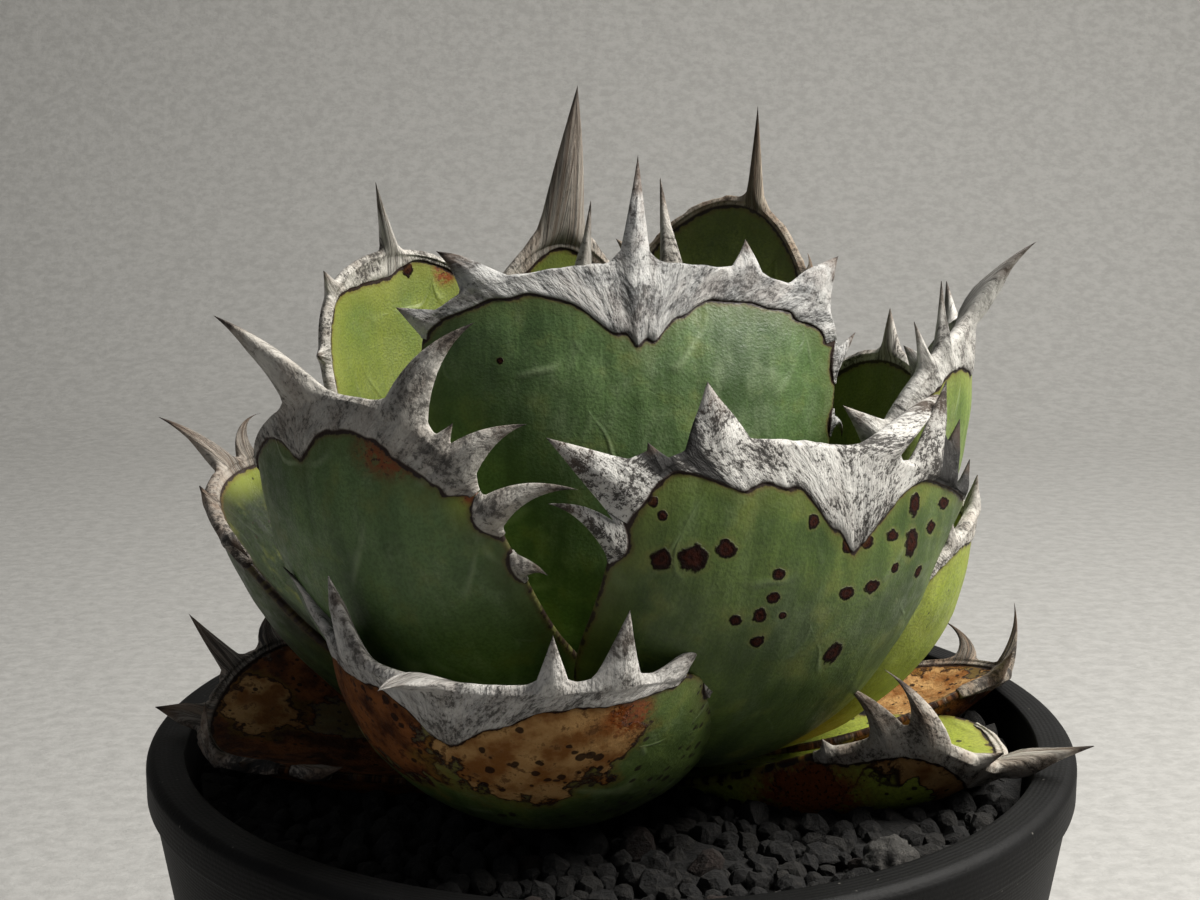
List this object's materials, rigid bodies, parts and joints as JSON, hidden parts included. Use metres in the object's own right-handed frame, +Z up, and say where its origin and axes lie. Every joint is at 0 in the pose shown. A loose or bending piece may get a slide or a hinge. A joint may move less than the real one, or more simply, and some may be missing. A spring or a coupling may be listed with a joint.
{
  "type": "potted agave",
  "caption": "Compact agave rosette of thick cupped leaves with pale toothed horn margins and end spines, in dark grit in a round tapered matt pot.",
  "frame": {"origin": "centre of the pot's flat underside", "axes": "+Z up along the pot's axis; the front of the plant, as it is pictured, faces -Y and +X is to its right"},
  "size_m": [0.1201, 0.12, 0.1874],
  "materials": {
    "leaf": "thick waxy leaf skin, grey-green with a faint bloom",
    "old_leaf": "ageing leaf skin, yellow-green with dry brown patches",
    "horn": "dry horny leaf margin, silvery grey with dark specks",
    "stem": "short fleshy stem",
    "grit": "loose dark mineral grit",
    "pot": "matt moulded pot with fine turning lines"
  },
  "bodies": {
    "root": {"leaf_01_blade": "leaf", "leaf_01_horn": "horn", "leaf_02_blade": "leaf", "leaf_02_horn": "horn", "leaf_03_blade": "leaf", "leaf_03_horn": "horn", "leaf_04_blade": "leaf", "leaf_04_horn": "horn", "leaf_05_blade": "leaf", "leaf_05_horn": "horn", "leaf_06_blade": "leaf", "leaf_06_horn": "horn", "leaf_07_blade": "leaf", "leaf_07_horn": "horn", "leaf_08_blade": "leaf", "leaf_08_horn": "horn", "leaf_09_blade": "leaf", "leaf_09_horn": "horn", "leaf_10_blade": "leaf", "leaf_10_horn": "horn", "leaf_11_blade": "leaf", "leaf_11_horn": "horn", "leaf_12_blade": "leaf", "leaf_12_horn": "horn", "leaf_13_blade": "leaf", "leaf_13_horn": "horn", "leaf_14_blade": "leaf", "leaf_14_horn": "horn", "leaf_15_blade": "leaf", "leaf_15_horn": "horn", "leaf_16_blade": "leaf", "leaf_16_horn": "horn", "leaf_17_blade": "leaf", "leaf_17_horn": "horn", "leaf_18_blade": "old_leaf", "leaf_18_horn": "horn", "leaf_19_blade": "old_leaf", "leaf_19_horn": "horn", "leaf_20_blade": "old_leaf", "leaf_20_horn": "horn", "stem": "stem", "soil": "grit", "pot": "pot"}
  },
  "joints": []
}
